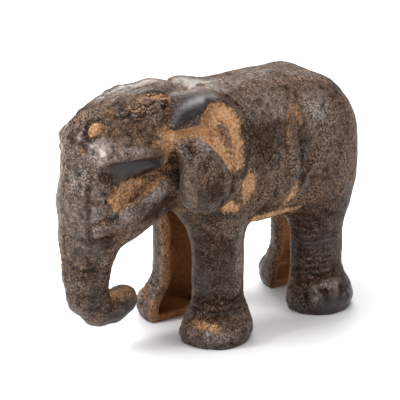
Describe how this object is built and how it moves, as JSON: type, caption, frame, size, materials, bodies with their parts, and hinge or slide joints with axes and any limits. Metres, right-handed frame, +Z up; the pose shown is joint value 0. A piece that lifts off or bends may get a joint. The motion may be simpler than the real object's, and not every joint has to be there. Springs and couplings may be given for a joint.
{
  "type": "elephant figurine",
  "caption": "Standing cast iron elephant figurine, hollow, with open half-round legs, hanging head and trunk curled back.",
  "frame": {"origin": "centre of the footprint's bounding box, on the plane of the soles", "axes": "+Z up, the elephant faces -Y, its left flank is at +X"},
  "size_m": [0.0514, 0.1079, 0.0822],
  "materials": {
    "iron": "worn dark brown cast iron, pitted, with orange rust in the recesses and a soft sheen on raised places"
  },
  "bodies": {
    "root": {"elephant_casting": "iron"}
  },
  "joints": []
}
